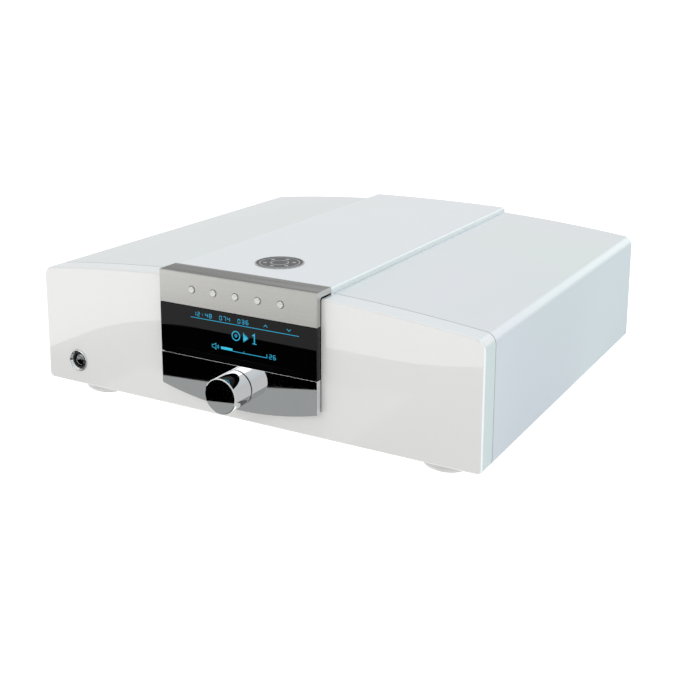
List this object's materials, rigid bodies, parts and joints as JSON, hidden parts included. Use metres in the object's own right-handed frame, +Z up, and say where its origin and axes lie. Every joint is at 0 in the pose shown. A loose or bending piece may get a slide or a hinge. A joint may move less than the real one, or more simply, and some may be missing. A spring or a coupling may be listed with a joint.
{
  "type": "compact disc player",
  "caption": "Full-width slot-loading disc player: bowed lacquered case, raised centre strip, display glass over the slot, buttons in a brushed band, volume knob on a polished plate.",
  "frame": {"origin": "centre of the bounding box, on the surface the feet rest on", "axes": "+X to the right seen from the front, +Y from the front to the back, +Z up"},
  "size_m": [0.445, 0.4402, 0.1405],
  "materials": {
    "white_lacquer": "white gloss lacquer",
    "brushed_aluminium": "brushed and clear anodised",
    "polished_chrome": "polished",
    "display_glass": "tinted black, polished",
    "display_face": "dark display face with blue-green segments",
    "black_plastic": "fine-textured black",
    "grey_cap": "glossy grey",
    "badge_metal": "dark grey with light rings",
    "foot_finish": "light grey lacquer",
    "steel_sheet": "zinc-plated sheet",
    "rubber": "matt black",
    "circuit_board": "green solder mask",
    "winding_tape": "amber winding tape",
    "capacitor_sleeve": "dark blue sleeve",
    "black_anodised": "black anodised",
    "gold_plate": "gold plated",
    "lens_glass": "coated"
  },
  "bodies": {
    "case": {"fascia": "white_lacquer", "left_cover": "white_lacquer", "right_cover": "white_lacquer", "centre_cover": "white_lacquer", "base_plate": "steel_sheet", "rear_panel": "white_lacquer", "front_subframe": "steel_sheet", "control_band": "brushed_aluminium", "display_glass": "display_glass", "chrome_plate": "polished_chrome", "panel_carrier": "black_plastic", "slot_guide": "black_plastic", "display_module": "display_face", "button_board": "circuit_board", "encoder_body": "steel_sheet", "power_ring": "polished_chrome", "power_sleeve": "black_plastic", "power_switch": "black_plastic", "emblem": "badge_metal", "feet": "foot_finish", "foot_pads": "rubber", "foot_screws": "steel_sheet", "case_screws": "steel_sheet", "toroidal_transformer": "winding_tape", "transformer_clamp": "steel_sheet", "transformer_bolt": "steel_sheet", "psu_board": "circuit_board", "psu_capacitors": "capacitor_sleeve", "heatsink": "black_anodised", "main_board": "circuit_board", "board_spacers": "steel_sheet", "power_entry": "black_plastic", "rca_sockets": "gold_plate", "xlr_sockets": "black_plastic", "digital_sockets": "gold_plate", "transport_frame": "steel_sheet", "transport_dampers": "rubber", "clamp_bridge": "steel_sheet", "loading_motor": "steel_sheet"},
    "knob": {"knob": "polished_chrome", "encoder_shaft": "steel_sheet"},
    "button_1": {"button_1": "brushed_aluminium"},
    "button_2": {"button_2": "brushed_aluminium"},
    "button_3": {"button_3": "brushed_aluminium"},
    "button_4": {"button_4": "brushed_aluminium"},
    "button_5": {"button_5": "brushed_aluminium"},
    "power_button": {"power_button": "grey_cap"},
    "mains_rocker": {"mains_rocker": "black_plastic"},
    "lift_slide": {"lift_slide": "brushed_aluminium"},
    "traverse": {"traverse_plate": "steel_sheet", "guide_rods": "polished_chrome", "spindle_motor": "steel_sheet", "sled_motor": "steel_sheet"},
    "turntable": {"turntable": "black_plastic"},
    "clamp_puck": {"clamp_puck": "black_plastic"},
    "pickup": {"pickup_sled": "steel_sheet"},
    "lens": {"pickup_lens": "lens_glass"},
    "sled_pinion": {"sled_pinion": "gold_plate"},
    "loading_roller": {"loading_roller": "rubber"},
    "loading_pinion": {"loading_pinion": "gold_plate"}
  },
  "joints": [
    {"name": "knob_turn", "type": "hinge", "parent": "case", "child": "knob", "pos_m": [0, -0.2084, 0.0455], "axis": [0, -1, 0], "continuous": true},
    {"name": "button_1_press", "type": "slide", "parent": "case", "child": "button_1", "axis": [0, 1, 0], "range_m": [0, 0.0008], "stiffness_N_per_m": 600, "springref_m": -0.0008},
    {"name": "button_2_press", "type": "slide", "parent": "case", "child": "button_2", "axis": [0, 1, 0], "range_m": [0, 0.0008], "stiffness_N_per_m": 600, "springref_m": -0.0008},
    {"name": "button_3_press", "type": "slide", "parent": "case", "child": "button_3", "axis": [0, 1, 0], "range_m": [0, 0.0008], "stiffness_N_per_m": 600, "springref_m": -0.0008},
    {"name": "button_4_press", "type": "slide", "parent": "case", "child": "button_4", "axis": [0, 1, 0], "range_m": [0, 0.0008], "stiffness_N_per_m": 600, "springref_m": -0.0008},
    {"name": "button_5_press", "type": "slide", "parent": "case", "child": "button_5", "axis": [0, 1, 0], "range_m": [0, 0.0008], "stiffness_N_per_m": 600, "springref_m": -0.0008},
    {"name": "power_press", "type": "slide", "parent": "case", "child": "power_button", "axis": [0, 1, 0], "range_m": [0, 0.002], "stiffness_N_per_m": 700, "springref_m": -0.0015},
    {"name": "mains_switch", "type": "hinge", "parent": "case", "child": "mains_rocker", "pos_m": [-0.15, 0.2051, 0.089], "axis": [1, 0, 0], "range_deg": [0, 16]},
    {"name": "traverse_lift", "type": "slide", "parent": "case", "child": "traverse", "axis": [0, 0, 1], "range_m": [0, 0.0042]},
    {"name": "lift_slide_run", "type": "slide", "parent": "case", "child": "lift_slide", "axis": [0, 1, 0], "range_m": [0, 0.012]},
    {"name": "disc_spin", "type": "hinge", "parent": "traverse", "child": "turntable", "pos_m": [0, -0.0784, 0.063], "axis": [0, 0, 1], "continuous": true},
    {"name": "clamp_spin", "type": "hinge", "parent": "case", "child": "clamp_puck", "pos_m": [0, -0.0784, 0.073], "axis": [0, 0, 1], "continuous": true},
    {"name": "sled_run", "type": "slide", "parent": "traverse", "child": "pickup", "axis": [0, 1, 0], "range_m": [0, 0.036]},
    {"name": "sled_pinion_turn", "type": "hinge", "parent": "traverse", "child": "sled_pinion", "pos_m": [0.037, -0.0384, 0.059], "axis": [0, 0, 1], "range_deg": [-344.1, 0]},
    {"name": "lens_focus", "type": "slide", "parent": "pickup", "child": "lens", "axis": [0, 0, 1], "range_m": [-0.0005, 0.0015], "stiffness_N_per_m": 60},
    {"name": "roller_spin", "type": "hinge", "parent": "case", "child": "loading_roller", "pos_m": [0, -0.1504, 0.0639], "axis": [1, 0, 0], "continuous": true},
    {"name": "loading_pinion_spin", "type": "hinge", "parent": "case", "child": "loading_pinion", "pos_m": [0.075, -0.14095, 0.0565], "axis": [1, 0, 0], "continuous": true}
  ],
  "couplings": [
    {"joint": "lift_slide_run", "follows": "traverse_lift", "ratio": 2.8571},
    {"joint": "clamp_spin", "follows": "disc_spin", "ratio": 1},
    {"joint": "sled_pinion_turn", "follows": "sled_run", "rad_per_m": -166.67},
    {"joint": "loading_pinion_spin", "follows": "roller_spin", "ratio": -2}
  ]
}
